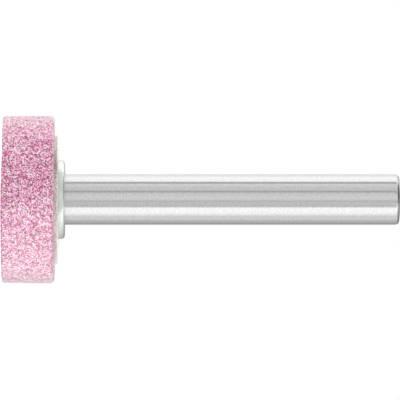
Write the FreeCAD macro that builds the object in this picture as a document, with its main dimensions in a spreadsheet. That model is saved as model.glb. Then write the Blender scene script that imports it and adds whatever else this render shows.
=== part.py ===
"""Mounted point: a wide, short abrasive wheel on a straight round shank.

The tool stands on the flat front face of its wheel, which lies on z = 0, and
its shank points up along +Z, the axis that every piece is turned about.

The wheel has a blind bore in its back. The shank is turned down to a spigot
that stands in the bore, and ring grooves round the spigot key it into the
cement that fills the bore. A card washer and a steel collar are held between
the wheel's back and the shoulder where the spigot meets the full shank.

All sizes are in millimetres.
"""
import FreeCAD, Part
import Sketcher
import enum
import math
import os

SIZES = (
    ("wheel_diameter", 20.0, "abrasive wheel, across"),
    ("wheel_width", 6.3, "abrasive wheel, front face to back face"),
    ("wheel_edge_radius", 0.45, "rounding of both rims of the wheel"),
    ("floor_thickness", 1.8, "abrasive left between the bore and the front face"),
    ("card_diameter", 15.4, "card washer, across"),
    ("card_thickness", 0.45, "card washer"),
    ("collar_diameter", 9.4, "steel collar, across"),
    ("collar_thickness", 0.8, "steel collar"),
    ("collar_chamfer", 0.2, "turned edge of the collar on the shank side"),
    ("washer_clearance", 0.05, "gap all round the spigot in card and collar"),
    ("shank_diameter", 6.0, "ground shank, the size that a collet grips"),
    ("shank_length", 40.1, "shank in sight, collar to the top of its free end"),
    ("crown_radius", 24.0, "low dome of the free end"),
    ("crown_chamfer", 0.4, "broken edge between the shank and its domed end"),
    ("shoulder_width", 0.75, "step from the shank down to the spigot, each side"),
    ("spigot_end_gap", 0.3, "cement under the end of the spigot"),
    ("spigot_chamfer", 0.3, "lead-in at the end of the spigot"),
    ("cement_thickness", 0.25, "cement between the spigot and the bore"),
    ("groove_count", 3, "ring grooves round the spigot"),
    ("groove_width", 0.4, "mouth of a ring groove, a plain V"),
    ("groove_depth", 0.2, "ring groove"),
)

# Places and sizes that follow from the sheet, as expressions over its names
CARD_SEAT = "Sizes.wheel_width"
COLLAR_SEAT = "Sizes.wheel_width + Sizes.card_thickness"
SPIGOT_SEAT = "Sizes.floor_thickness + Sizes.spigot_end_gap"
BORE_DEPTH = "Sizes.wheel_width - Sizes.floor_thickness"
KEYED_LENGTH = f"({BORE_DEPTH} - Sizes.spigot_end_gap)"
GROOVE_PITCH = f"({KEYED_LENGTH} / (Sizes.groove_count + 1))"
SPIGOT_LENGTH = f"({KEYED_LENGTH} + Sizes.card_thickness + Sizes.collar_thickness)"
SHANK_TOP = f"({SPIGOT_LENGTH} + Sizes.shank_length)"
SHANK_RADIUS = "(Sizes.shank_diameter / 2)"
CROWN_DROP = f"(Sizes.crown_radius - sqrt(Sizes.crown_radius ^ 2 - {SHANK_RADIUS} ^ 2))"
CROWN_SIDE = f"({SHANK_TOP} - {CROWN_DROP})"
SPIGOT_RADIUS = f"({SHANK_RADIUS} - Sizes.shoulder_width)"
BORE_RADIUS = f"({SPIGOT_RADIUS} + Sizes.cement_thickness)"
HOLE_RADIUS = f"({SPIGOT_RADIUS} + Sizes.washer_clearance)"

# Two lengths closer than this are the same, and so are two volumes within this share
SAME = 1e-6
SAME_SHARE = 1e-4
WHOLE_TURN = 360
UPWARDS = FreeCAD.Vector(0, 0, 1)


class EdgePoint(enum.IntEnum):
    """The numbers by which a sketch calls the points of one of its edges."""

    START = 1
    END = 2
    MIDDLE = 3


class SketchAxis(enum.IntEnum):
    """The numbers by which a sketch calls its own two axes."""

    FLAT = -1
    UPRIGHT = -2


# A sketch's origin is where its flat axis starts
ORIGIN = (SketchAxis.FLAT, EdgePoint.START)


def write_sheet(doc):
    """Put each driving size in a cell of its own, named by its alias."""
    sheet = doc.addObject("Spreadsheet::Sheet", "Sizes")
    for row, (alias, value, meaning) in enumerate(SIZES, start=1):
        sheet.set(f"A{row}", meaning)
        sheet.set(f"B{row}", str(value))
        sheet.setAlias(f"B{row}", alias)
    doc.recompute()


def length_of(owner, expression):
    """The value that an expression over the sheet has now, in millimetres."""
    return float(owner.evalExpression(expression))


def new_body(doc, label, seat="0"):
    """An empty body whose own z = 0 stands at the height called seat."""
    body = doc.addObject("PartDesign::Body", label)
    body.Label = label
    body.Placement = FreeCAD.Placement()
    body.setExpression("Placement.Base.z", seat)
    return body


def origin_item(body, role):
    """One of a body's own origin planes or axes."""
    return next(item for item in body.Origin.OriginFeatures if item.Role == role)


def new_sketch(body, name, plane):
    """An empty sketch on one of the body's origin planes."""
    sketch = body.newObject("Sketcher::SketchObject", name)
    sketch.AttachmentSupport = (origin_item(body, plane), [""])
    sketch.MapMode = "FlatFace"
    return sketch


def constrain(sketch, kind, *items):
    """Add one constraint to a sketch, and give its number."""
    return sketch.addConstraint(Sketcher.Constraint(kind, *items))


def bind(sketch, name, expression, kind, *items):
    """Add a dimension to a sketch, name it and tie it to the sheet."""
    index = constrain(sketch, kind, *items, length_of(sketch, expression))
    sketch.renameConstraint(index, name)
    sketch.setExpression(f"Constraints.{name}", expression)


def join(sketch, edge, following):
    """The end of one edge of a sketch is the start of another."""
    constrain(sketch, "Coincident", edge, EdgePoint.END, following, EdgePoint.START)


def place_point(sketch, name, point, radius, height):
    """Tie a point of a profile to its radius and height; None is on the axis."""
    if radius is None:
        constrain(sketch, "PointOnObject", *point, SketchAxis.UPRIGHT)
    else:
        bind(sketch, f"{name}_radius", radius, "DistanceX", *ORIGIN, *point)
    if height is None:
        constrain(sketch, "PointOnObject", *point, SketchAxis.FLAT)
    else:
        bind(sketch, f"{name}_height", height, "DistanceY", *ORIGIN, *point)


def point_at(sketch, radius, height):
    """Where a point of a profile lies; None is on the axis."""
    return FreeCAD.Vector(length_of(sketch, radius or "0"), length_of(sketch, height or "0"), 0)


def draw_through(sketch, corners, last):
    """Straight edges from corner to corner and on to the last point.

    A corner is a name, a radius and a height, and is tied to the sheet. Edge 0
    starts at the first corner, edge 1 at the second, and so on.
    """
    points = [point_at(sketch, radius, height) for _, radius, height in corners] + [last]
    for point, following in zip(points, points[1:]):
        sketch.addGeometry(Part.LineSegment(point, following))
    for edge, (name, radius, height) in enumerate(corners):
        place_point(sketch, name, (edge, EdgePoint.START), radius, height)
        if edge:
            join(sketch, edge - 1, edge)


def add_circle(sketch, name, radius):
    """A circle about the sketch's origin."""
    circle = Part.Circle(FreeCAD.Vector(), UPWARDS, length_of(sketch, radius))
    edge = sketch.addGeometry(circle)
    constrain(sketch, "Coincident", edge, EdgePoint.MIDDLE, *ORIGIN)
    bind(sketch, f"{name}_radius", radius, "Radius", edge)


def add_disc(body, name, radius, thickness, hole=None):
    """A flat round plate that stands on the body's z = 0, with or without a hole."""
    sketch = new_sketch(body, f"{name}_outline", "XY_Plane")
    add_circle(sketch, "rim", radius)
    if hole:
        add_circle(sketch, "hole", hole)
    plate = body.newObject("PartDesign::Pad", f"{name}_plate")
    plate.Profile = sketch
    plate.setExpression("Length", thickness)
    return plate


def edges_at(feature, radius, height):
    """The names of a feature's circular edges at one radius and height."""
    wanted_radius = length_of(feature, radius)
    wanted_height = length_of(feature, height)
    names = []
    for number, edge in enumerate(feature.Shape.Edges, start=1):
        if edge.Degenerated or not isinstance(edge.Curve, Part.Circle):
            continue
        off_radius = abs(edge.Curve.Radius - wanted_radius)
        off_height = abs(edge.Curve.Center.z - wanted_height)
        if max(off_radius, off_height) < SAME:
            names.append(f"Edge{number}")
    return names


def soften(body, kind, name, feature, places, size_name, size):
    """Round or chamfer a feature's circular edges at each (radius, height)."""
    body.Document.recompute()
    edges = [edge for place in places for edge in edges_at(feature, *place)]
    if len(edges) != len(places):
        raise RuntimeError(f"{name} finds {len(edges)} edges at {len(places)} places")
    softened = body.newObject(kind, name)
    softened.Base = (feature, edges)
    softened.setExpression(size_name, size)
    return softened


def make_wheel(doc):
    """The abrasive wheel: a moulded disc with rounded rims and a blind bore."""
    body = new_body(doc, "abrasive_wheel")
    radius = "Sizes.wheel_diameter / 2"
    disc = add_disc(body, "wheel", radius, "Sizes.wheel_width")
    rims = [(radius, "0"), (radius, "Sizes.wheel_width")]
    rim_size = "Sizes.wheel_edge_radius"
    rounded = soften(body, "PartDesign::Fillet", "wheel_rims", disc, rims, "Radius", rim_size)
    mouth = new_sketch(body, "bore_mouth", "XY_Plane")
    mouth.setExpression("AttachmentOffset.Base.z", "Sizes.wheel_width")
    add_circle(mouth, "bore", BORE_RADIUS)
    bore = body.newObject("PartDesign::Pocket", "wheel_bore")
    bore.Profile = mouth
    bore.setExpression("Length", BORE_DEPTH)
    doc.recompute()
    bore_area = math.pi * length_of(bore, BORE_RADIUS) ** 2
    check_removed(rounded, bore, bore_area * length_of(bore, BORE_DEPTH))
    return body


def make_card_washer(doc):
    """The card washer that keeps the steel collar off the abrasive."""
    body = new_body(doc, "card_washer", CARD_SEAT)
    radius = "Sizes.card_diameter / 2"
    add_disc(body, "card", radius, "Sizes.card_thickness", HOLE_RADIUS)
    return body


def make_collar(doc):
    """The steel collar that the shank's shoulder presses on the card."""
    body = new_body(doc, "steel_collar", COLLAR_SEAT)
    radius = "Sizes.collar_diameter / 2"
    plate = add_disc(body, "collar", radius, "Sizes.collar_thickness", HOLE_RADIUS)
    rim = [(radius, "Sizes.collar_thickness")]
    soften(body, "PartDesign::Chamfer", "collar_rim", plate, rim, "Size", "Sizes.collar_chamfer")
    return body


def add_shank_profile(body):
    """Half the outline of shank and spigot, from the spigot's end to the crown.

    The crown is an arc whose centre lies on the axis, one crown radius below
    the top, so the height of its side follows from the two radii.
    """
    sketch = new_sketch(body, "shank_outline", "XZ_Plane")
    corners = (
        ("spigot_end_centre", None, None),
        ("spigot_end_edge", SPIGOT_RADIUS, None),
        ("shoulder_inside", SPIGOT_RADIUS, SPIGOT_LENGTH),
        ("shoulder_outside", SHANK_RADIUS, SPIGOT_LENGTH),
    )
    draw_through(sketch, corners, point_at(sketch, SHANK_RADIUS, CROWN_SIDE))
    side = len(corners) - 1
    crown_radius = length_of(sketch, "Sizes.crown_radius")
    crown_centre = point_at(sketch, None, f"{SHANK_TOP} - Sizes.crown_radius")
    side_angle = math.acos(length_of(sketch, SHANK_RADIUS) / crown_radius)
    circle = Part.Circle(crown_centre, UPWARDS, crown_radius)
    crown = sketch.addGeometry(Part.ArcOfCircle(circle, side_angle, math.pi / 2))
    top = point_at(sketch, None, SHANK_TOP)
    axis = sketch.addGeometry(Part.LineSegment(top, point_at(sketch, None, None)))
    join(sketch, side, crown)
    join(sketch, crown, axis)
    join(sketch, axis, 0)
    constrain(sketch, "Vertical", side)
    constrain(sketch, "PointOnObject", crown, EdgePoint.MIDDLE, SketchAxis.UPRIGHT)
    place_point(sketch, "crown_top", (crown, EdgePoint.END), None, SHANK_TOP)
    bind(sketch, "crown", "Sizes.crown_radius", "Radius", crown)
    return sketch


def turn(body, kind, name, sketch):
    """Turn a profile about the body's own Z axis, to add or to remove metal."""
    turned = body.newObject(kind, name)
    turned.Profile = sketch
    turned.ReferenceAxis = (origin_item(body, "Z_Axis"), [""])
    turned.Angle = WHOLE_TURN
    return turned


def add_grooves(body):
    """V-shaped ring grooves, evenly spaced along the spigot's cemented length."""
    sketch = new_sketch(body, "groove_section", "XZ_Plane")
    corners = (
        ("groove_low", SPIGOT_RADIUS, f"{GROOVE_PITCH} - Sizes.groove_width / 2"),
        ("groove_high", SPIGOT_RADIUS, f"{GROOVE_PITCH} + Sizes.groove_width / 2"),
        ("groove_bottom", f"{SPIGOT_RADIUS} - Sizes.groove_depth", GROOVE_PITCH),
    )
    draw_through(sketch, corners, point_at(sketch, *corners[0][1:]))
    join(sketch, len(corners) - 1, 0)
    first = turn(body, "PartDesign::Groove", "first_groove", sketch)
    row = body.newObject("PartDesign::LinearPattern", "groove_row")
    row.Originals = [first]
    row.Direction = (origin_item(body, "Z_Axis"), [""])
    row.setExpression("Length", f"{GROOVE_PITCH} * (Sizes.groove_count - 1)")
    row.setExpression("Occurrences", "Sizes.groove_count")
    body.Tip = row
    return first, row


def make_shank(doc):
    """The ground shank with its domed free end and its grooved spigot."""
    body = new_body(doc, "shank", SPIGOT_SEAT)
    kind = "PartDesign::Chamfer"
    bar = turn(body, "PartDesign::Revolution", "turned_bar", add_shank_profile(body))
    spigot_end = [(SPIGOT_RADIUS, "0")]
    led_in = soften(body, kind, "lead_in", bar, spigot_end, "Size", "Sizes.spigot_chamfer")
    crown_side = [(SHANK_RADIUS, CROWN_SIDE)]
    broken = soften(body, kind, "crown_rim", led_in, crown_side, "Size", "Sizes.crown_chamfer")
    first, row = add_grooves(body)
    doc.recompute()
    one_groove = broken.Shape.Volume - first.Shape.Volume
    check_removed(broken, row, one_groove * length_of(row, "Sizes.groove_count"))
    return body


def make_cement(doc, shank):
    """The cement: what is left of the bore once the spigot stands in it."""
    filling = doc.addObject("Part::Cylinder", "bore_filling")
    filling.setExpression("Radius", BORE_RADIUS)
    filling.setExpression("Height", BORE_DEPTH)
    filling.setExpression("Placement.Base.z", "Sizes.floor_thickness")
    cement = doc.addObject("Part::Cut", "cement")
    cement.Label = "cement"
    cement.Base = filling
    cement.Tool = shank
    cement.Placement = FreeCAD.Placement()
    return cement


def check_removed(before, after, volume):
    """A cut that points away from the solid removes nothing, so its volume is compared."""
    removed = before.Shape.Volume - after.Shape.Volume
    if removed <= 0 or abs(removed - volume) > volume * SAME_SHARE:
        raise RuntimeError(f"{after.Label} removes {removed} and not {volume} cubic millimetres")


def check_document(doc, parts):
    """Stop at an object that failed, a loose sketch or a sub-part without one sound solid."""
    for item in doc.Objects:
        if "Invalid" in item.State or "Error" in item.State:
            raise RuntimeError(f"{item.Label} could not be worked out")
        if item.isDerivedFrom("Sketcher::SketchObject") and not item.FullyConstrained:
            raise RuntimeError(f"{item.Label} has a point that nothing holds")
    for part in parts:
        shape = part.Shape
        if shape.isNull() or not shape.isValid() or len(shape.Solids) != 1:
            raise RuntimeError(f"{part.Label} is not one sound solid")


def main():
    doc = FreeCAD.newDocument("MountedPoint")
    write_sheet(doc)
    shank = make_shank(doc)
    parts = [make_wheel(doc), make_card_washer(doc), make_collar(doc), shank, make_cement(doc, shank)]
    doc.recompute()
    check_document(doc, parts)
    os.makedirs("parts", exist_ok=True)
    for part in parts:
        part.Shape.exportStep(os.path.join("parts", f"{part.Label}.step"))
        print(f"{part.Label}: {part.Shape.Volume:.3f} cubic millimetres")


main()
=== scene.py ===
"""Finish for a mounted point: an abrasive wheel on a ground steel shank.

Every piece is a surface turned about the tool's own axis, +Z. Its outline is a
line of radius and height in metres, with each corner rounded by an arc, and the
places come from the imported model. The tool stands on its wheel, and the camera
lies on its side, so that the shank runs across the picture from left to right.
"""
import math

import bpy
import numpy as np
from bpy.props import FloatProperty, FloatVectorProperty, IntProperty, PointerProperty
from mathutils import Matrix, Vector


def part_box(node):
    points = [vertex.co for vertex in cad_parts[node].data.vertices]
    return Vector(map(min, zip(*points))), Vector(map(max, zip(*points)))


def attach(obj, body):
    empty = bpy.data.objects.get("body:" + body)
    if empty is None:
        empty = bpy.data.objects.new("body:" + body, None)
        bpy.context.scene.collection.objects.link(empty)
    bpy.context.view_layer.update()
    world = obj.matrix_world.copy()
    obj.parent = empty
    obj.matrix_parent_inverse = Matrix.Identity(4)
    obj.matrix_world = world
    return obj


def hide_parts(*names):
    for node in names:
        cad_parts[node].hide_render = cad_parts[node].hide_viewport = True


bl_info = {
    "name": "Mounted point",
    "version": (1, 0, 0),
    "blender": (4, 5, 0),
    "location": "3D View > Sidebar > Mounted point",
    "description": "Dresses a packed mounted point and sets its stage",
    "category": "Add Mesh",
}

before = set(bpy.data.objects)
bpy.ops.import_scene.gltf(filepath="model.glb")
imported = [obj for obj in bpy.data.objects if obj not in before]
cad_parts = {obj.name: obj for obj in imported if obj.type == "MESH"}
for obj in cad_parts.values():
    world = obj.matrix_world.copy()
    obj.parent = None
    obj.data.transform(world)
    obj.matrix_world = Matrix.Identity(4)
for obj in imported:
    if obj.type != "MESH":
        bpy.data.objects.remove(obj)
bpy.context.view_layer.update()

MM = 0.001
ROOT = "root"
FULL_TURN = 2 * math.pi

WHEEL_PIECE = "abrasive_wheel_grains"
CARD_PIECE = "card_washer_disc"
# The point attribute that tells the wheel's material how deep a place lies, from 0 to 1; the
# material darkens deep places by it, as dust and painted shade
DEPTH_LAYER = "depth"

# Steps round the axis that each surface is cut into
WHEEL_STEPS, WASHER_STEPS, SHANK_STEPS, FLOOR_STEPS = 576, 384, 512, 96
# Edges that turn by more than this are drawn sharp
SHARP_ANGLE = math.radians(32)
# The shortest normal that is made a unit long; those at the poles are shorter and stay so
TINY = 1e-12
# How far a pit reaches from the middle of its clump, in clump widths
PIT_REACH = 1.1
# The card's uneven rim, as (waves round it, phase, height beside the others)
RIM_WAVES = ((3, 1, 1), (8, 0, 1 / 2), (19, 2, 1 / 4))

# A Mix node's sockets for colours, by number, because its other types use the same names
MIX_FACTOR, MIX_A, MIX_B, MIX_RESULT = 0, 6, 7, 2
# Where the values of a noise texture mostly lie
NOISE_LOW, NOISE_HIGH = 0.3, 0.7
# The share of its own colour that steel shows in the dullest and in the brightest tool mark
MARK_DULL, MARK_BRIGHT = 0.9, 1.1
# How many tool marks one radian round the axis crosses
TURNED_MARKS, GROUND_MARKS = 14, 13
# Heights of the unit normal on the shank, 0 on the side and 1 at the top of the dome: where
# the corner's painted dark reflection starts and is darkest, and where the dome starts and is whole
CORNER_RISE = (0.4, 0.75)
DOME_RISE = (0.96, 0.99)


def linear(code):
    """Linear red, green and blue of an sRGB hex colour."""
    shares = [int(code[place:place + 2], 16) / 255 for place in (1, 3, 5)]
    return tuple(c / 12.92 if c <= 0.04045 else ((c + 0.055) / 1.055) ** 2.4 for c in shares)


def length(name, description, size):
    """A length for a property group, given in millimetres."""
    return FloatProperty(
        name=name, description=description, default=size * MM, min=0, precision=5, unit="LENGTH"
    )


def fraction(name, description, default):
    """A share from 0 to 1 for a property group."""
    return FloatProperty(
        name=name, description=description, default=default, min=0, max=1, subtype="FACTOR"
    )


def colour(name, description, code):
    """A colour for a property group, given as sRGB hex."""
    return FloatVectorProperty(
        name=name, description=description, default=linear(code), min=0, max=1, subtype="COLOR"
    )


class WheelLook(bpy.types.PropertyGroup):
    """Sizes and colours of the abrasive wheel."""

    front_radius: length("Front radius", "Rounding of the rim of the free face", 0.3)
    back_radius: length("Back radius", "Rounding of the rim on the card side", 0.45)
    wear: length("Wear", "Depth worn off one half of the free face", 0.13)
    wear_reach: length("Wear reach", "From the axis to where the wear is at its full depth", 6)
    clump: length("Clump", "Width of one clump of grains in the relief", 0.3)
    relief: length("Relief", "Depth of the joints between clumps", 0.06)
    pit_depth: length("Pit depth", "Depth of a place that has lost its clump", 0.12)
    pit_share: fraction("Pit share", "Share of clumps that are lost", 0.1)
    seed: IntProperty(name="Seed", description="Chooses the layout of the clumps", default=7)
    grain: length("Grain", "Width of one grain in the colours", 0.1154)
    ragged: length("Ragged edge", "How far the edge of a grain strays", 0.09)
    ragged_width: length("Ragged width", "Width of one bend in the edge of a grain", 0.1875)
    patch: length("Patch", "Width of a patch with more white or more pink in it", 0.75)
    patch_lean: fraction("Patch lean", "How far a patch shifts the shares of the colours", 0.1)
    veil: fraction("Veil", "How much the bond may pale a grain", 0.12)
    white: colour("White grain", "White fused grains", "#FFECF6")
    pale: colour("Pale grain", "Pale pink grains", "#F8B2D2")
    pink: colour("Pink grain", "Pink fused grains", "#DA4E96")
    deep: colour("Deep grain", "Deepest pink grains", "#880A50")
    # Colour that deep places are mixed towards: bond and dust, and painted shade in the pits
    pit_dust_and_shade: colour("Pit", "Bond and dust in the pits", "#82003E")


class CardLook(bpy.types.PropertyGroup):
    """Sizes and colours of the card washer."""

    front_radius: length("Front radius", "Wear on the cut edge on the shank side", 0.1)
    back_radius: length("Back radius", "Wear on the cut edge on the wheel side", 0.06)
    waviness: length("Waviness", "Unevenness of the cut rim", 0.025)
    clearance: length("Clearance", "Gap between the hole and the spigot", 0.05)
    fibre: length("Fibre", "Width of one speck in the card", 0.16)
    patch: length("Patch", "Width of a darker or paler patch", 5)
    patch_lean: fraction("Patch lean", "How far a patch shifts the specks' tone", 0.14)
    seed: FloatProperty(name="Seed", description="Chooses where the patches lie", default=3)
    bleached: colour("Bleached fibre", "Palest specks", "#EDE8E3")
    light: colour("Light fibre", "Main colour of the card", "#CEC6BD")
    dark: colour("Dark fibre", "Darker specks", "#877B6F")


class CollarLook(bpy.types.PropertyGroup):
    """Sizes and colour of the steel collar."""

    front_radius: length("Front radius", "Rounding of the edge on the shank side", 0.4)
    back_radius: length("Back radius", "Rounding of the edge on the card side", 0.03)
    clearance: length("Clearance", "Gap between the hole and the spigot", 0.05)
    mark: length("Tool mark", "Pitch of the rings that turning leaves", 0.16)
    steel: colour("Steel", "Turned steel", "#DDE1E0")


class ShankLook(bpy.types.PropertyGroup):
    """Sizes and colour of the shank and the spigot under it."""

    crown_radius: length("Crown radius", "Low dome of the free end", 24.0)
    corner_radius: length("Corner radius", "Rounding between shank and dome", 0.5)
    spigot_radius: length("Spigot radius", "Part of the shank in the wheel", 2.25)
    lead_in: length("Lead-in", "Chamfer at the end of the spigot", 0.3)
    groove_width: length("Groove width", "Mouth of a grip groove", 0.4)
    groove_depth: length("Groove depth", "Depth of a grip groove", 0.2)
    groove_count: IntProperty(name="Grooves", description="Grip grooves on the spigot", default=3)
    mark: length("Grinding mark", "Pitch of the rings that grinding leaves", 0.12)
    # Painted dark reflection on the turned corner, as a share of the steel's colour
    painted_corner_shade: fraction("Corner shade", "Share of the steel's colour on the turned corner", 0.62)
    dome_roughness: fraction("Dome roughness", "Roughness of the faced dome", 0.5)
    steel: colour("Steel", "Ground steel", "#C6C6C6")


class CementLook(bpy.types.PropertyGroup):
    """Clouds and colour of the cement in the bore."""

    cloud: length("Cloud", "Width of a darker cloud", 0.8)
    cloud_shade: fraction("Cloud shade", "Share of the colour in the darkest cloud", 0.7)
    body: colour("Cement", "Bonding cement", "#B9B4A8")


class StageLook(bpy.types.PropertyGroup):
    """The camera's place and the floor's size and colour."""

    distance: length("Camera distance", "From the tool's axis to the camera", 1150)
    view_width: length("View width", "What the picture takes in across the axis", 47.81)
    edge_gap: length("Edge gap", "From the picture's left edge to the wheel's face", 0.2)
    axis_drop: length("Axis drop", "From the tool's axis down to the middle of the picture", 0.05)
    floor_radius: length("Floor radius", "Disc that the wheel stands on", 120)
    floor_depth: length("Floor depth", "Depth of the disc in its middle", 0.5)
    floor: colour("Floor", "Plain pale floor", "#F0F0F0")


def rounded_outline(corners, arc_parts=8):
    """Radius and height along a line through the corners, each rounded by an arc.

    A corner is (radius, height, rounding, parts), where parts is how many steps
    the side after it has. The arc touches both sides, so its centre lies on the
    line that halves the corner, rounding / cos(turn / 2) away, and its points
    go from the first touching point s to the second e as
    centre + (sin((1 - t) turn) s + sin(t turn) e) / sin(turn).
    """
    places = np.array([corner[:2] for corner in corners])
    steps = np.diff(places, axis=0)
    ways = steps / np.linalg.norm(steps, axis=1, keepdims=True)
    stretches = []
    for index, (place, (*_, rounding, _)) in enumerate(zip(places, corners)):
        if rounding and 0 < index < len(corners) - 1:
            into, out = ways[index - 1], ways[index]
            turn = math.acos(float(np.clip(into @ out, -1, 1)))
            reach = rounding * math.tan(turn / 2)
            middle = (out - into) / np.linalg.norm(out - into)
            centre = place + middle * rounding / math.cos(turn / 2)
            first = place - into * reach - centre
            last = place + out * reach - centre
            t = np.linspace(0, 1, arc_parts + 1)[:, None]
            arc = (np.sin((1 - t) * turn) * first + np.sin(t * turn) * last) / math.sin(turn)
            stretches.append(centre + arc)
        else:
            stretches.append(place[None])
    line = [stretches[0]]
    for (*_, parts), before, after in zip(corners, stretches, stretches[1:]):
        t = np.linspace(0, 1, parts + 1)[1:-1, None]
        line += [before[-1] + t * (after[0] - before[-1]), after]
    return np.concatenate(line)


def arc_line(centre, radius, start, end, parts):
    """Points centre + radius (cos a, sin a), for angles a from just after the start to the end."""
    angle = np.linspace(start, end, parts + 1)[1:]
    return np.array(centre) + radius * np.stack((np.cos(angle), np.sin(angle)), axis=-1)


def washer_outline(box, hole, back_radius, front_radius, parts):
    """Closed outline of a flat ring, with the outer edges of its back and front rounded.

    It goes along the back, up the rim, along the front and down the hole, and
    parts holds the steps of these four sides.
    """
    low, high = box
    back, rim, front, inside = parts
    corners = (
        (hole, low.z, 0, back),
        (high.x, low.z, back_radius, rim),
        (high.x, high.z, front_radius, front),
        (hole, high.z, 0, inside),
        (hole, low.z, 0, 1),
    )
    return rounded_outline(corners)[:-1]


def turned_points(outline, segments):
    """Grid of points (r cos a, r sin a, z) for each outline point (r, z) and angle a."""
    angle = np.arange(segments) * FULL_TURN / segments
    radius, height = outline.T[:, :, None]
    x = radius * np.cos(angle)
    y = radius * np.sin(angle)
    return np.stack((x, y, np.broadcast_to(height, x.shape)), axis=-1)


def turned_normals(points):
    """Outward normals of a grid of points, as the cross product of its two slopes."""
    along = np.gradient(points, axis=0)
    around = np.roll(points, -1, axis=1) - np.roll(points, 1, axis=1)
    normals = np.cross(around, along)
    return normals / np.maximum(np.linalg.norm(normals, axis=-1, keepdims=True), TINY)


def one_per_pole(grid):
    """The grid's entries in one line, with only one from its first row and one from its last."""
    inner = grid[1:-1].reshape(-1, *grid.shape[2:])
    return np.concatenate((grid[0, :1], inner, grid[-1, :1]))


def mesh_from_grid(name, points, closed=False):
    """A mesh whose faces join each grid point to the next along and around.

    The outline runs from the bottom outwards and up, so that faces point out.
    A closed outline joins its last row to its first. Otherwise the first and
    last rows lie on the axis, and each becomes one point with a fan of faces.
    """
    rows, segments = points.shape[:2]
    index = np.arange(rows * segments).reshape(rows, segments)
    if closed:
        index = np.vstack((index, index[:1]))
        vertices = points.reshape(-1, 3)
    else:
        index = np.maximum(index - segments + 1, 0)
        index[-1] = index[-1, 0]
        vertices = one_per_pole(points)
    after = np.roll(index, -1, axis=1)
    quads = np.stack((index[:-1], after[:-1], after[1:], index[1:]), axis=-1)
    if closed:
        faces = quads.reshape(-1, 4).tolist()
    else:
        faces = quads[1:-1].reshape(-1, 4).tolist()
        faces += quads[0][:, [0, 2, 3]].tolist()
        faces += quads[-1][:, [3, 0, 1]].tolist()
    mesh = bpy.data.meshes.new(name)
    mesh.from_pydata(vertices, [], faces)
    mesh.shade_smooth()
    mesh.set_sharp_from_angle(angle=SHARP_ANGLE)
    return mesh


def add_piece(mesh, material, node):
    """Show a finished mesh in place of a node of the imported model."""
    mesh.materials.append(material)
    piece = bpy.data.objects.new(mesh.name, mesh)
    bpy.context.scene.collection.objects.link(piece)
    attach(piece, ROOT)
    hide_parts(node)


def clump_field(points, cell, seed):
    """Distance to the nearest clump's centre, in cells, and that clump's own random share.

    Space is cut into cubes of one cell, each with one centre at a random place in
    it. A point looks at the 27 cubes round its own and keeps the nearest centre.
    """
    random = np.random.default_rng(seed)
    scaled = points / cell
    base = np.floor(scaled).astype(int)
    lowest = base.reshape(-1, 3).min(axis=0) - 1
    shape = base.reshape(-1, 3).max(axis=0) - lowest + 2
    centres = random.random((*shape, 3))
    shares = random.random(shape)
    nearest = np.full(points.shape[:-1], np.inf)
    share = np.zeros(points.shape[:-1])
    for step in np.ndindex(3, 3, 3):
        cube = base + np.array(step) - 1
        place = tuple(np.moveaxis(cube - lowest, -1, 0))
        distance = np.linalg.norm(cube + centres[place] - scaled, axis=-1)
        closer = distance < nearest
        nearest = np.where(closer, distance, nearest)
        share = np.where(closer, shares[place], share)
    return nearest, share


def add_node(tree, kind, inputs=None, stops=(), **settings):
    """Add a node with its settings; an input is a value, or the socket it is linked from.

    stops are the (place, colour) pairs of a colour ramp.
    """
    node = tree.nodes.new(kind)
    for name, value in settings.items():
        setattr(node, name, value)
    for name, value in (inputs or {}).items():
        if isinstance(value, bpy.types.NodeSocket):
            tree.links.new(value, node.inputs[name])
        else:
            node.inputs[name].default_value = value
    for index, (place, value) in enumerate(stops):
        elements = node.color_ramp.elements
        element = elements[index] if index < 2 else elements.new(place)
        element.position = place
        element.color = (*value, 1)
    return node


def new_material(name):
    """An empty material and its node tree."""
    material = bpy.data.materials.new(name)
    material.use_nodes = True
    material.node_tree.nodes.clear()
    return material, material.node_tree


def shifted_by_patch(tree, value, patches, lean):
    """The value with up to lean added in some patches of a noise, and taken off in others."""
    shift = add_node(
        tree,
        "ShaderNodeMapRange",
        {
            "Value": patches.outputs["Fac"],
            "From Min": NOISE_LOW,
            "From Max": NOISE_HIGH,
            "To Min": -lean,
            "To Max": lean,
        },
    )
    total = add_node(tree, "ShaderNodeMath", {0: value, 1: shift.outputs[0]}, operation="ADD")
    return total.outputs[0]


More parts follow.
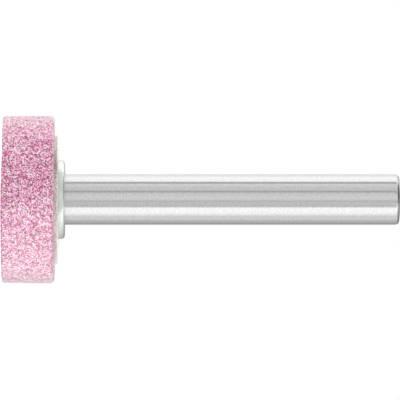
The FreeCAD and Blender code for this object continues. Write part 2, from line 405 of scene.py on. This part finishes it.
def fused_alumina(look):
    """Vitrified pink and white fused alumina, moulded and fired.

    Hard glassy grains near 0.12 mm wide, in several pinks and some of them white,
    stand in a porous bond. Each grain has one colour and a dull glint of its own,
    and bond on top of it may pale it a little. Some patches hold more white and
    some more pink. Deep places are darkened towards the pit colour by their depth,
    partly bond and dust and partly painted shade in the pits and joints. The broken
    surface looks paler where it is seen nearly edge-on, which is what the sheen is for.
    """
    material, tree = new_material("vitrified_fused_alumina")
    place = add_node(tree, "ShaderNodeTexCoord").outputs["Object"]
    drift = add_node(
        tree, "ShaderNodeTexNoise", {"Vector": place, "Scale": 1 / look.ragged_width, "Detail": 2}
    )
    stray = add_node(
        tree,
        "ShaderNodeVectorMath",
        {0: drift.outputs["Color"], "Scale": look.ragged},
        operation="SCALE",
    )
    bent = add_node(tree, "ShaderNodeVectorMath", {0: place, 1: stray.outputs[0]}, operation="ADD")
    grains = add_node(
        tree, "ShaderNodeTexVoronoi", {"Vector": bent.outputs[0], "Scale": 1 / look.grain}
    )
    own = add_node(tree, "ShaderNodeSeparateColor", {"Color": grains.outputs["Color"]})
    patches = add_node(
        tree, "ShaderNodeTexNoise", {"Vector": place, "Scale": 1 / look.patch, "Detail": 1}
    )
    choice = shifted_by_patch(tree, own.outputs["Red"], patches, look.patch_lean)
    # How far up the grains' own random numbers each colour goes, with a short blend between
    kinds = add_node(
        tree,
        "ShaderNodeValToRGB",
        {"Fac": choice},
        stops=(
            (0.0, look.white),
            (0.24, look.white),
            (0.29, look.pale),
            (0.43, look.pale),
            (0.48, look.pink),
            (0.67, look.pink),
            (0.72, look.deep),
        ),
    )
    # Bond lies in clouds as wide as a grain, and only their denser parts show
    cloud = add_node(
        tree,
        "ShaderNodeTexNoise",
        {"Vector": place, "Scale": 1 / look.grain, "Detail": 3, "Roughness": 0.6},
    )
    veil = add_node(
        tree,
        "ShaderNodeMapRange",
        {"Value": cloud.outputs["Fac"], "From Min": 0.42, "From Max": 0.68, "To Max": look.veil},
    )
    veiled = add_node(
        tree,
        "ShaderNodeMix",
        {MIX_FACTOR: veil.outputs[0], MIX_A: kinds.outputs["Color"], MIX_B: (*look.pale, 1)},
        data_type="RGBA",
    )
    # Dust and painted shade: the deeper a place, the more it takes the pit colour
    depth = add_node(tree, "ShaderNodeAttribute", attribute_name=DEPTH_LAYER)
    shaded = add_node(
        tree,
        "ShaderNodeMix",
        {
            MIX_FACTOR: depth.outputs["Fac"],
            MIX_A: veiled.outputs[MIX_RESULT],
            MIX_B: (*look.pit_dust_and_shade, 1),
        },
        data_type="RGBA",
    )
    glint = add_node(
        tree, "ShaderNodeMapRange", {"Value": own.outputs["Green"], "To Min": 0.4, "To Max": 0.8}
    )
    facets = add_node(
        tree,
        "ShaderNodeBump",
        {"Height": grains.outputs["Distance"], "Strength": 0.5, "Distance": 0.02 * MM},
    )
    surface = add_node(
        tree,
        "ShaderNodeBsdfPrincipled",
        {
            "Base Color": shaded.outputs[MIX_RESULT],
            "Roughness": glint.outputs[0],
            "IOR": 1.76,
            "Sheen Weight": 1.0,
            "Sheen Roughness": 0.4,
            "Normal": facets.outputs[0],
        },
    )
    add_node(tree, "ShaderNodeOutputMaterial", {"Surface": surface.outputs[0]})
    return material


def pressed_card(look):
    """Grey-beige card, pressed from mixed fibre and punched.

    Dull, with light and dark specks, some paler patches and soft fuzzy edges. Its
    fibres are a few hundredths of a millimetre thick, too fine to show, so a speck
    is drawn as wide as a bundle of them.
    """
    material, tree = new_material("pressed_card")
    place = add_node(tree, "ShaderNodeTexCoord").outputs["Object"]
    fibres = add_node(
        tree,
        "ShaderNodeTexNoise",
        {"Vector": place, "Scale": 1 / look.fibre, "Detail": 4, "Roughness": 0.65},
    )
    patches = add_node(
        tree,
        "ShaderNodeTexNoise",
        {"Vector": place, "W": look.seed, "Scale": 1 / look.patch, "Detail": 1},
        noise_dimensions="4D",
    )
    tone = add_node(
        tree,
        "ShaderNodeValToRGB",
        {"Fac": shifted_by_patch(tree, fibres.outputs["Fac"], patches, look.patch_lean)},
        stops=((0.36, look.dark), (0.5, look.light), (0.64, look.bleached)),
    )
    fuzz = add_node(
        tree,
        "ShaderNodeBump",
        {"Height": fibres.outputs["Fac"], "Strength": 0.6, "Distance": 0.03 * MM},
    )
    surface = add_node(
        tree,
        "ShaderNodeBsdfPrincipled",
        {
            "Base Color": tone.outputs["Color"],
            "Roughness": 0.88,
            "IOR": 1.48,
            "Sheen Weight": 0.9,
            "Sheen Roughness": 0.5,
            "Normal": fuzz.outputs[0],
        },
    )
    add_node(tree, "ShaderNodeOutputMaterial", {"Surface": surface.outputs[0]})
    return material


def ring_marks(tree, pitch, per_radian):
    """Noise from 0 to 1 that is long round the axis and short across it, as a tool leaves it.

    It is read at (height + radius) / pitch, so that both sides and flat faces get
    rings, and at the direction round the axis times per_radian, so that no mark
    goes all the way round.
    """
    place = add_node(tree, "ShaderNodeTexCoord").outputs["Object"]
    flat = add_node(tree, "ShaderNodeVectorMath", {0: place, 1: (1, 1, 0)}, operation="MULTIPLY")
    radius = add_node(tree, "ShaderNodeVectorMath", {0: flat.outputs[0]}, operation="LENGTH")
    way = add_node(tree, "ShaderNodeVectorMath", {0: flat.outputs[0]}, operation="NORMALIZE")
    spread = add_node(
        tree,
        "ShaderNodeVectorMath",
        {0: way.outputs[0], "Scale": per_radian * pitch},
        operation="SCALE",
    )
    height = add_node(tree, "ShaderNodeSeparateXYZ", {"Vector": place})
    along = add_node(
        tree,
        "ShaderNodeMath",
        {0: height.outputs["Z"], 1: radius.outputs["Value"]},
        operation="ADD",
    )
    lifted = add_node(tree, "ShaderNodeCombineXYZ", {"Z": along.outputs[0]})
    vector = add_node(
        tree, "ShaderNodeVectorMath", {0: spread.outputs[0], 1: lifted.outputs[0]}, operation="ADD"
    )
    noise = add_node(
        tree,
        "ShaderNodeTexNoise",
        {"Vector": vector.outputs[0], "Scale": 1 / pitch, "Detail": 3, "Roughness": 0.6},
    )
    even = add_node(
        tree,
        "ShaderNodeMapRange",
        {"Value": noise.outputs["Fac"], "From Min": NOISE_LOW, "From Max": NOISE_HIGH},
    )
    return even.outputs[0]


def marked_colour(tree, steel, marks):
    """The steel's own colour, a little duller or brighter from one tool mark to the next."""
    shade = add_node(
        tree,
        "ShaderNodeMix",
        {
            MIX_FACTOR: marks,
            MIX_A: (*(MARK_DULL * part for part in steel), 1),
            MIX_B: (*(MARK_BRIGHT * part for part in steel), 1),
        },
        data_type="RGBA",
    )
    return shade.outputs[MIX_RESULT]


def finish_steel(tree, base_colour, roughness, marks, smear, strength, depth):
    """Bare steel with tool marks round the axis, which smear reflections across themselves.

    smear is how strongly they do, and its quarter turn points it along the axis.
    strength and depth are for the bump of the marks that show.
    """
    relief = add_node(
        tree, "ShaderNodeBump", {"Height": marks, "Strength": strength, "Distance": depth}
    )
    tangent = add_node(tree, "ShaderNodeTangent", direction_type="RADIAL", axis="Z")
    surface = add_node(
        tree,
        "ShaderNodeBsdfPrincipled",
        {
            "Base Color": base_colour,
            "Metallic": 1.0,
            "Roughness": roughness,
            "Anisotropic": smear,
            "Anisotropic Rotation": 0.25,
            "Normal": relief.outputs[0],
            "Tangent": tangent.outputs[0],
        },
    )
    add_node(tree, "ShaderNodeOutputMaterial", {"Surface": surface.outputs[0]})


def turned_steel(look):
    """Bright mild steel, faced and turned on a lathe.

    Fine rings run round it, and they smear reflections across themselves. Real
    ones are finer than the picture shows, so they are drawn a few times coarser.
    """
    material, tree = new_material("turned_steel")
    marks = ring_marks(tree, look.mark, TURNED_MARKS)
    roughness = add_node(
        tree, "ShaderNodeMapRange", {"Value": marks, "To Min": 0.48, "To Max": 0.34}
    ).outputs[0]
    base_colour = marked_colour(tree, look.steel, marks)
    finish_steel(tree, base_colour, roughness, marks, smear=0.7, strength=0.5, depth=0.003 * MM)
    return material


def ground_steel(look):
    """Tool steel, ground between centres to a clean bright finish.

    Rings of a hundredth of a millimetre go round it, and they are drawn some ten
    times coarser so that they show. Across them reflections are soft, and round
    the shank they stay sharp, so that it shows clean lines along its length. The
    dome is faced and duller. The corner beside it is turned, and its colour is
    darkened by the way it faces, which is a painted dark reflection.
    """
    material, tree = new_material("ground_steel")
    marks = ring_marks(tree, look.mark, GROUND_MARKS)
    side = add_node(tree, "ShaderNodeMapRange", {"Value": marks, "To Min": 0.23, "To Max": 0.19})
    normal = add_node(tree, "ShaderNodeTexCoord").outputs["Normal"]
    rise = add_node(tree, "ShaderNodeSeparateXYZ", {"Vector": normal}).outputs["Z"]
    roughness = add_node(
        tree,
        "ShaderNodeMapRange",
        {
            "Value": rise,
            "From Min": DOME_RISE[0],
            "From Max": DOME_RISE[1],
            "To Min": side.outputs[0],
            "To Max": look.dome_roughness,
        },
    ).outputs[0]
    # Painted dark reflection: the colour darkens on the corner by the height of its normal
    plain, dark = (1,) * 3, (look.painted_corner_shade,) * 3
    corner = add_node(
        tree,
        "ShaderNodeValToRGB",
        {"Fac": rise},
        stops=zip((*CORNER_RISE, *DOME_RISE), (plain, dark, dark, plain)),
    )
    base_colour = add_node(
        tree,
        "ShaderNodeMix",
        {
            MIX_FACTOR: 1.0,
            MIX_A: marked_colour(tree, look.steel, marks),
            MIX_B: corner.outputs["Color"],
        },
        data_type="RGBA",
        blend_type="MULTIPLY",
    ).outputs[MIX_RESULT]
    finish_steel(tree, base_colour, roughness, marks, smear=0.85, strength=0.1, depth=0.001 * MM)
    return material


def cast_cement(look):
    """Two-part bonding cement, poured round the spigot and set: dull, grey and faintly cloudy."""
    material, tree = new_material("cast_cement")
    place = add_node(tree, "ShaderNodeTexCoord").outputs["Object"]
    cloud = add_node(
        tree, "ShaderNodeTexNoise", {"Vector": place, "Scale": 1 / look.cloud, "Detail": 4}
    )
    darkest = tuple(look.cloud_shade * part for part in look.body)
    tone = add_node(
        tree,
        "ShaderNodeValToRGB",
        {"Fac": cloud.outputs["Fac"]},
        stops=((NOISE_LOW, darkest), (NOISE_HIGH, look.body)),
    )
    surface = add_node(
        tree,
        "ShaderNodeBsdfPrincipled",
        {"Base Color": tone.outputs["Color"], "Roughness": 0.8, "IOR": 1.55},
    )
    add_node(tree, "ShaderNodeOutputMaterial", {"Surface": surface.outputs[0]})
    return material


class MOUNTEDPOINT_OT_wheel(bpy.types.Operator):
    """Add the abrasive wheel with its grains and pits"""

    bl_idname = "mounted_point.wheel"
    bl_label = "Abrasive wheel"

    def execute(self, context):
        """Turn the wheel's outline, wear its free face and sink each point to its depth.

        The outline goes along the free face, up the rim, along the back and down
        the bore. Single grains are too fine for the mesh, so its relief is cut in
        clumps of them, each two or three steps wide.
        """
        look = context.scene.wheel_look
        low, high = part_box("abrasive_wheel")
        bore_low, bore_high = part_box("cement")
        card_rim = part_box("card_washer")[1].x
        outline = rounded_outline(
            (
                (0, low.z, 0, 66),
                (high.x, low.z, look.front_radius, 52),
                (high.x, high.z, look.back_radius, 22),
                (card_rim, high.z, 0, 4),
                (bore_high.x, high.z, 0, 3),
                (bore_high.x, bore_low.z, 0, 3),
                (0, bore_low.z, 0, 1),
            ),
            arc_parts=6,
        )
        points = turned_points(outline, WHEEL_STEPS)
        self.wear_free_face(points, look, bore_low.z)
        depth = self.depths(points, look, card_rim, bore_low.z)
        mesh = mesh_from_grid(WHEEL_PIECE, points - turned_normals(points) * depth[..., None])
        # How far each place takes the pit colour in the material, as dust and painted shade
        deepest = look.relief + look.pit_depth
        dust_and_shade_share = np.clip((depth - look.relief / 2) / deepest, 0, 1).astype(np.float32)
        layer = mesh.attributes.new(DEPTH_LAYER, "FLOAT", "POINT")
        layer.data.foreach_set("value", one_per_pole(dust_and_shade_share))
        add_piece(mesh, fused_alumina(look), "abrasive_wheel")
        return {"FINISHED"}

    def wear_free_face(self, points, look, bore_floor):
        """Lift the free face where x is negative, less and less towards the bore's floor.

        The lift is wear (3 - 2 t) t^2 (1 - z / bore_floor), where t grows from 0 at
        the axis to 1 at the wear's reach.
        """
        t = np.clip(-points[..., 0] / look.wear_reach, 0, 1)
        fading = np.clip(1 - points[..., 2] / bore_floor, 0, 1)
        points[..., 2] += look.wear * (3 - 2 * t) * t ** 2 * fading

    def depths(self, points, look, card_rim, bore_floor):
        """How far each point lies under the plain surface.

        With d for the distance to the clump's centre in clump widths, it is relief
        d^2, so that crests stay on the model's own surface, and a lost clump adds
        pit depth (PIT_REACH - d). What the card hides, and the bore, stay plain.
        """
        d, share = clump_field(points, look.clump, look.seed)
        pits = look.pit_depth * np.clip(PIT_REACH - d, 0, 1)
        depth = look.relief * np.minimum(d, 1) ** 2 + np.where(share < look.pit_share, pits, 0)
        radius = np.hypot(points[..., 0], points[..., 1])
        in_the_open = (radius > card_rim) | (points[..., 2] < bore_floor)
        depth = np.where(in_the_open, depth, 0)
        # The first and last rows are one point each
        depth[[0, -1]] = depth[[0, -1], :1]
        return depth


class MOUNTEDPOINT_OT_card_washer(bpy.types.Operator):
    """Add the card washer with its cut rim"""

    bl_idname = "mounted_point.card_washer"
    bl_label = "Card washer"

    def execute(self, context):
        """Turn the washer's outline, and draw its rim in by a few waves round it.

        Each radius is made shorter by waviness (h - w) / 2 h at the rim and by less
        towards the hole, where w is the sum of the rim's waves and h the sum of
        their heights.
        """
        look = context.scene.card_look
        low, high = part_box("card_washer")
        hole = context.scene.shank_look.spigot_radius + look.clearance
        outline = washer_outline(
            (low, high), hole, look.back_radius, look.front_radius, parts=(2, 2, 6, 2)
        )
        points = turned_points(outline, WASHER_STEPS)
        angle = np.arctan2(points[..., 1], points[..., 0])
        waves = sum(part * np.sin(count * angle + phase) for count, phase, part in RIM_WAVES)
        highest = sum(part for *_, part in RIM_WAVES)
        reach = (np.hypot(points[..., 0], points[..., 1]) - hole) / (high.x - hole)
        shortfall = look.waviness / high.x * (highest - waves) / (2 * highest) * reach
        points[..., :2] *= (1 - shortfall)[..., None]
        mesh = mesh_from_grid(CARD_PIECE, points, closed=True)
        add_piece(mesh, pressed_card(look), "card_washer")
        return {"FINISHED"}


class MOUNTEDPOINT_OT_collar(bpy.types.Operator):
    """Add the turned steel collar"""

    bl_idname = "mounted_point.collar"
    bl_label = "Steel collar"

    def execute(self, context):
        """Turn the collar's outline about the axis."""
        look = context.scene.collar_look
        low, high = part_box("steel_collar")
        hole = context.scene.shank_look.spigot_radius + look.clearance
        outline = washer_outline(
            (low, high), hole, look.back_radius, look.front_radius, parts=(3, 3, 8, 2)
        )
        points = turned_points(outline, WASHER_STEPS)
        mesh = mesh_from_grid("steel_collar_ring", points, closed=True)
        add_piece(mesh, turned_steel(look), "steel_collar")
        return {"FINISHED"}


class MOUNTEDPOINT_OT_shank(bpy.types.Operator):
    """Add the ground shank with its domed end and grooved spigot"""

    bl_idname = "mounted_point.shank"
    bl_label = "Shank"

    def execute(self, context):
        """Turn the outline of spigot, shoulder, shank and crown.

        The corner arc has its centre at the shank's radius less its own, and as
        far from the crown's centre as the crown's radius less its own, so that it
        touches both the shank's side and the crown.
        """
        look = context.scene.shank_look
        low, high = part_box("shank")
        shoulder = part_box("steel_collar")[1].z
        pitch = (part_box("abrasive_wheel")[1].z - low.z) / (look.groove_count + 1)
        spigot = look.spigot_radius
        corners = [
            (0, low.z, 0, 4),
            (spigot - look.lead_in, low.z, 0, 1),
            (spigot, low.z + look.lead_in, 0, 1),
        ]
        for number in range(1, look.groove_count + 1):
            middle = low.z + number * pitch
            corners += [
                (spigot, middle - look.groove_width / 2, 0, 1),
                (spigot - look.groove_depth, middle, 0, 1),
                (spigot, middle + look.groove_width / 2, 0, 1),
            ]
        corners += [(spigot, shoulder, 0, 1), (high.x, shoulder, 0, 1)]
        crown_middle = high.z - look.crown_radius
        corner_middle = high.x - look.corner_radius
        rise = math.sqrt((look.crown_radius - look.corner_radius) ** 2 - corner_middle ** 2)
        corners.append((high.x, crown_middle + rise, 0, 1))
        meeting = math.atan2(rise, corner_middle)
        corner = arc_line(
            (corner_middle, crown_middle + rise), look.corner_radius, 0, meeting, parts=16
        )
        crown = arc_line((0, crown_middle), look.crown_radius, meeting, math.pi / 2, parts=24)
        outline = np.concatenate((rounded_outline(corners), corner, crown))
        mesh = mesh_from_grid("shank_ground", turned_points(outline, SHANK_STEPS))
        add_piece(mesh, ground_steel(look), "shank")
        return {"FINISHED"}


class MOUNTEDPOINT_OT_cement(bpy.types.Operator):
    """Give the cement in the bore its finish"""

    bl_idname = "mounted_point.cement"
    bl_label = "Cement"

    def execute(self, context):
        """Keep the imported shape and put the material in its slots."""
        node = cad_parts["cement"]
        node.data.materials.clear()
        node.data.materials.append(cast_cement(context.scene.cement_look))
        return {"FINISHED"}


# The light that steel mirrors from the tool's own height: panels as (from, to, level at
# each end), in degrees round the axis. 0 is towards the camera, and the picture's upper
# half mirrors the negative side. The level runs straight from each panel to the next, and
# the narrow grey ones near -85 and -37 draw the two fine lines along the shank.
PANELS = (
    (-180, -152, 0.32, 1.14),
    (-146, -120, 1.22, 1.60),
    (-116, -91, 1.66, 1.54),
    (-88, -81, 0.47, 0.57),
    (-76, -60, 1.18, 0.98),
    (-58, -42.5, 0.95, 0.95),
    (-39.5, -35, 0.55, 0.58),
    (-31, -1, 0.98, 1.10),
    (4, 10, 0.84, 0.78),
    (14, 34, 0.91, 0.82),
    (39.5, 66, 1.71, 1.61),
    (70, 76, 1.54, 1.36),
    (82, 107, 1.09, 1.05),
    (112, 146, 0.83, 0.57),
    (150, 180, 0.40, 0.32),
)
# The soft light that falls on dull surfaces from the same ways, as (degrees, level)
SOFT_LIGHT = (
    (-180, 1.15), (-140, 1.1), (-100, 0.86), (-60, 0.9), (-20, 0.9),
    (20, 0.86), (60, 0.68), (100, 0.5), (140, 0.8), (180, 1.1),
)
# Plain light from overhead, on dull surfaces: its level, and the heights z of the way
# between which it takes over from the soft light
OVERHEAD_LEVEL = 1.2
OVERHEAD_HEIGHTS = (0.5, 0.8)
# The pale floor, in steel: its level, its greatest share, and the heights z of the way
# between which that share grows
FLOOR_LEVEL = 1.2
FLOOR_SHARE = 0.4
FLOOR_HEIGHTS = (-0.25, -0.5)
# A round dark patch of ceiling, in steel: its level, the way to its middle, and its half
# width and the half width of its soft edge in degrees
CEILING_LEVEL = 0.12
CEILING_WAY = (-0.2, 0.2, 0.96)
CEILING_REACH = 23
CEILING_EDGE = 4
# The level that white stands for in the world's colours
PEAK = 3.0
# The lamps round the tool as (degrees round the axis, watts), and the watts of the one above
GLEAMS = ((38, 1.5), (98, 1.45), (-112, 0.5))
TOP_POWER = 0.65
# How far away every lamp is, and how long its sides are, in metres
LAMP_DISTANCE = 0.3
LAMP_SIZE = 0.3
# The floor's painted reflection of a coat, a white glow that only the camera sees: its level,
# its share from above and from nearly edge-on, and the Facing values between which the share grows
PAINTED_REFLECTION_LEVEL = 1.45
PAINTED_REFLECTION_SHARES = (0.2, 1.0)
PAINTED_REFLECTION_FACING = (0.88, 0.96)


def painted_floor(look):
    """White painted board with a smooth coat.

    From above it shows the tool's shadow. A white glow that the camera alone sees
    stands in for its coat mirroring the white behind it: a painted reflection, weak
    from above and whole nearly edge-on.
    """
    material, tree = new_material("painted_floor")
    paint = add_node(tree, "ShaderNodeBsdfDiffuse", {"Color": (*look.floor, 1)})
    path = add_node(tree, "ShaderNodeLightPath")
    level = add_node(
        tree,
        "ShaderNodeMath",
        {0: path.outputs["Is Camera Ray"], 1: PAINTED_REFLECTION_LEVEL},
        operation="MULTIPLY",
    )
    # Painted reflection: a glow for camera rays only, in place of the coat's mirroring
    painted_reflection = add_node(tree, "ShaderNodeEmission", {"Strength": level.outputs[0]})
    facing = add_node(tree, "ShaderNodeLayerWeight").outputs["Facing"]
    painted_reflection_share = add_node(
        tree,
        "ShaderNodeMapRange",
        {
            "Value": facing,
            "From Min": PAINTED_REFLECTION_FACING[0],
            "From Max": PAINTED_REFLECTION_FACING[1],
            "To Min": PAINTED_REFLECTION_SHARES[0],
            "To Max": PAINTED_REFLECTION_SHARES[1],
        },
    )
    surface = add_node(
        tree, "ShaderNodeMixShader", {0: painted_reflection_share.outputs[0], 1: paint.outputs[0], 2: painted_reflection.outputs[0]}
    )
    add_node(tree, "ShaderNodeOutputMaterial", {"Surface": surface.outputs[0]})
    return material


def grey(level):
    """A light level as a grey of the world's colours."""
    return (level / PEAK,) * 3


def ring_light(tree, turn, levels):
    """The grey of the way's turn round the axis, from (degrees, level) pairs."""
    stops = [(degrees / 360 + 0.5, grey(level)) for degrees, level in levels]
    return add_node(tree, "ShaderNodeValToRGB", {"Fac": turn}, stops=stops).outputs["Color"]


def light_on_steel(tree, way, height, turn):
    """What steel and the gloss of the other pieces mirror: panels, pale floor and dark ceiling."""
    panels = [stop for start, end, *ends in PANELS for stop in zip((start, end), ends)]
    below = add_node(
        tree,
        "ShaderNodeMapRange",
        {
            "Value": height,
            "From Min": FLOOR_HEIGHTS[0],
            "From Max": FLOOR_HEIGHTS[1],
            "To Max": FLOOR_SHARE,
        },
        interpolation_type="SMOOTHSTEP",
    )
    with_floor = add_node(
        tree,
        "ShaderNodeMix",
        {
            MIX_FACTOR: below.outputs[0],
            MIX_A: ring_light(tree, turn, panels),
            MIX_B: (*grey(FLOOR_LEVEL), 1),
        },
        data_type="RGBA",
    )
    nearness = add_node(
        tree, "ShaderNodeVectorMath", {0: way, 1: CEILING_WAY}, operation="DOT_PRODUCT"
    )
    ceiling = add_node(
        tree,
        "ShaderNodeMapRange",
        {
            "Value": nearness.outputs["Value"],
            "From Min": math.cos(math.radians(CEILING_REACH + CEILING_EDGE)),
            "From Max": math.cos(math.radians(CEILING_REACH - CEILING_EDGE)),
        },
    )
    whole = add_node(
        tree,
        "ShaderNodeMix",
        {
            MIX_FACTOR: ceiling.outputs[0],
            MIX_A: with_floor.outputs[MIX_RESULT],
            MIX_B: (*grey(CEILING_LEVEL), 1),
        },
        data_type="RGBA",
    )
    return whole.outputs[MIX_RESULT]


def light_on_dull(tree, height, turn):
    """What falls on surfaces that don't mirror: soft light round the tool and from overhead."""
    overhead = add_node(
        tree,
        "ShaderNodeMapRange",
        {"Value": height, "From Min": OVERHEAD_HEIGHTS[0], "From Max": OVERHEAD_HEIGHTS[1]},
        interpolation_type="SMOOTHSTEP",
    )
    whole = add_node(
        tree,
        "ShaderNodeMix",
        {
            MIX_FACTOR: overhead.outputs[0],
            MIX_A: ring_light(tree, turn, SOFT_LIGHT),
            MIX_B: (*grey(OVERHEAD_LEVEL), 1),
        },
        data_type="RGBA",
    )
    return whole.outputs[MIX_RESULT]


class MOUNTEDPOINT_OT_stage(bpy.types.Operator):
    """Add the floor, the light and the camera"""

    bl_idname = "mounted_point.stage"
    bl_label = "Stage"

    def execute(self, context):
        """Lay the floor, light the world, hang the lamps and aim the camera across the axis."""
        scene = context.scene
        look = scene.stage_look
        self.add_floor(scene, look)
        self.light_world(scene)
        self.add_lamps(scene)
        self.add_camera(scene, look)
        scene.view_settings.view_transform = "Standard"
        return {"FINISHED"}

    def add_floor(self, scene, look):
        """A disc, flat on top, whose rings (r cos a, r sin a, z) show the tool's shadow.

        Only the camera sees it, so light from below still reaches the tool.
        """
        rim = look.floor_radius
        outline = np.array(((0, -look.floor_depth), (rim, 0), (rim / 10, 0), (0, 0)))
        mesh = mesh_from_grid("floor", turned_points(outline, FLOOR_STEPS))
        mesh.materials.append(painted_floor(look))
        floor = bpy.data.objects.new("floor", mesh)
        floor.visible_diffuse = False
        floor.visible_glossy = False
        floor.visible_shadow = False
        scene.collection.objects.link(floor)

    def light_world(self, scene):
        """White to the camera, the panels to mirrored rays and a softer light to all others.

        Both lights depend on the way that a ray takes: on its angle round the axis,
        atan2(x, -y), and near the top and the bottom on its height z.
        """
        world = bpy.data.worlds.new("studio")
        scene.world = world
        world.use_nodes = True
        # Rays find the world on their own, so that each is known as a mirrored or a soft one
        world.cycles.sampling_method = "NONE"
        tree = world.node_tree
        tree.nodes.clear()
        way = add_node(tree, "ShaderNodeTexCoord").outputs["Generated"]
        axes = add_node(tree, "ShaderNodeSeparateXYZ", {"Vector": way})
        away = add_node(tree, "ShaderNodeMath", {0: axes.outputs["Y"], 1: -1}, operation="MULTIPLY")
        angle = add_node(
            tree, "ShaderNodeMath", {0: axes.outputs["X"], 1: away.outputs[0]}, operation="ARCTAN2"
        )
        turn = add_node(
            tree,
            "ShaderNodeMapRange",
            {"Value": angle.outputs[0], "From Min": -math.pi, "From Max": math.pi},
        ).outputs[0]
        path = add_node(tree, "ShaderNodeLightPath")
        either = add_node(
            tree,
            "ShaderNodeMix",
            {
                MIX_FACTOR: path.outputs["Is Glossy Ray"],
                MIX_A: light_on_dull(tree, axes.outputs["Z"], turn),
                MIX_B: light_on_steel(tree, way, axes.outputs["Z"], turn),
            },
            data_type="RGBA",
        )
        light = add_node(
            tree, "ShaderNodeBackground", {"Color": either.outputs[MIX_RESULT], "Strength": PEAK}
        )
        paper = add_node(tree, "ShaderNodeBackground", {"Color": (1, 1, 1, 1), "Strength": 1.0})
        seen = add_node(
            tree,
            "ShaderNodeMixShader",
            {0: path.outputs["Is Camera Ray"], 1: light.outputs[0], 2: paper.outputs[0]},
        )
        add_node(tree, "ShaderNodeOutputWorld", {"Surface": seen.outputs[0]})

    def add_lamp(self, scene, name, power, lit):
        """A square lamp that shines along its own -Z, on the pieces named in lit and no other."""
        data = bpy.data.lights.new(name, "AREA")
        data.size = LAMP_SIZE
        data.energy = power
        lamp = bpy.data.objects.new(name, data)
        lamp.visible_camera = False
        receivers = bpy.data.collections.new(name)
        for piece in lit:
            receivers.objects.link(bpy.data.objects[piece])
        lamp.light_linking.receiver_collection = receivers
        scene.collection.objects.link(lamp)
        return lamp

    def add_lamps(self, scene):
        """Lamps round the tool put a gleam on its dull pieces, and one above lights the card.

        Steel mirrors the panels of the world instead, which draw its lines.
        """
        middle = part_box("abrasive_wheel")[1].z / 2
        for degrees, power in GLEAMS:
            gleam = self.add_lamp(scene, "gleam", power, (WHEEL_PIECE, CARD_PIECE))
            turn = math.radians(degrees)
            x, y = math.sin(turn), -math.cos(turn)
            gleam.location = (LAMP_DISTANCE * x, LAMP_DISTANCE * y, middle)
            gleam.rotation_euler = (math.pi / 2, 0, turn)
            gleam.visible_diffuse = False
        above = self.add_lamp(scene, "above", TOP_POWER, (CARD_PIECE,))
        above.location.z = LAMP_DISTANCE

    def add_camera(self, scene, look):
        """Aim along +Y, rolled so that +Z is to the picture's right and -X is up."""
        data = bpy.data.cameras.new("camera")
        data.sensor_width = 36
        data.lens = data.sensor_width * look.distance / look.view_width
        data.clip_start = 0.01
        data.clip_end = 10
        camera = bpy.data.objects.new("camera", data)
        middle = look.view_width / 2 - look.edge_gap
        right, up, back = (0, 0, 1), (-1, 0, 0), (0, -1, 0)
        position = (look.axis_drop, -look.distance, middle)
        rows = [[right[i], up[i], back[i], position[i]] for i in range(3)] + [[0, 0, 0, 1]]
        scene.collection.objects.link(camera)
        camera.matrix_world = Matrix(rows)
        scene.camera = camera


class MOUNTEDPOINT_PT_pieces(bpy.types.Panel):
    """Lists the pieces of the mounted point"""

    bl_label = "Mounted point"
    bl_idname = "MOUNTEDPOINT_PT_pieces"
    bl_space_type = "VIEW_3D"
    bl_region_type = "UI"
    bl_category = "Mounted point"

    def draw(self, context):
        """One button for each operator, over the sizes and colours that it reads."""
        for operator, name, _ in STEPS:
            box = self.layout.box()
            box.operator(operator.bl_idname)
            look = getattr(context.scene, name)
            for setting in look.__annotations__:
                box.prop(look, setting)


# Each operator, the scene property that it reads and that property's group
STEPS = (
    (MOUNTEDPOINT_OT_wheel, "wheel_look", WheelLook),
    (MOUNTEDPOINT_OT_card_washer, "card_look", CardLook),
    (MOUNTEDPOINT_OT_collar, "collar_look", CollarLook),
    (MOUNTEDPOINT_OT_shank, "shank_look", ShankLook),
    (MOUNTEDPOINT_OT_cement, "cement_look", CementLook),
    (MOUNTEDPOINT_OT_stage, "stage_look", StageLook),
)
OPERATORS, _, GROUPS = zip(*STEPS)
CLASSES = (*GROUPS, *OPERATORS, MOUNTEDPOINT_PT_pieces)


def register():
    """Make the classes known and give every scene its settings."""
    for item in CLASSES:
        bpy.utils.register_class(item)
    for _, name, group in STEPS:
        setattr(bpy.types.Scene, name, PointerProperty(type=group))


def unregister():
    """Take the settings and the classes away again."""
    for _, name, _ in STEPS:
        delattr(bpy.types.Scene, name)
    for item in reversed(CLASSES):
        bpy.utils.unregister_class(item)


def main():
    """Make every piece and the stage."""
    register()
    bpy.ops.mounted_point.wheel()
    bpy.ops.mounted_point.card_washer()
    bpy.ops.mounted_point.collar()
    bpy.ops.mounted_point.shank()
    bpy.ops.mounted_point.cement()
    bpy.ops.mounted_point.stage()


if __name__ == "__main__":
    main()
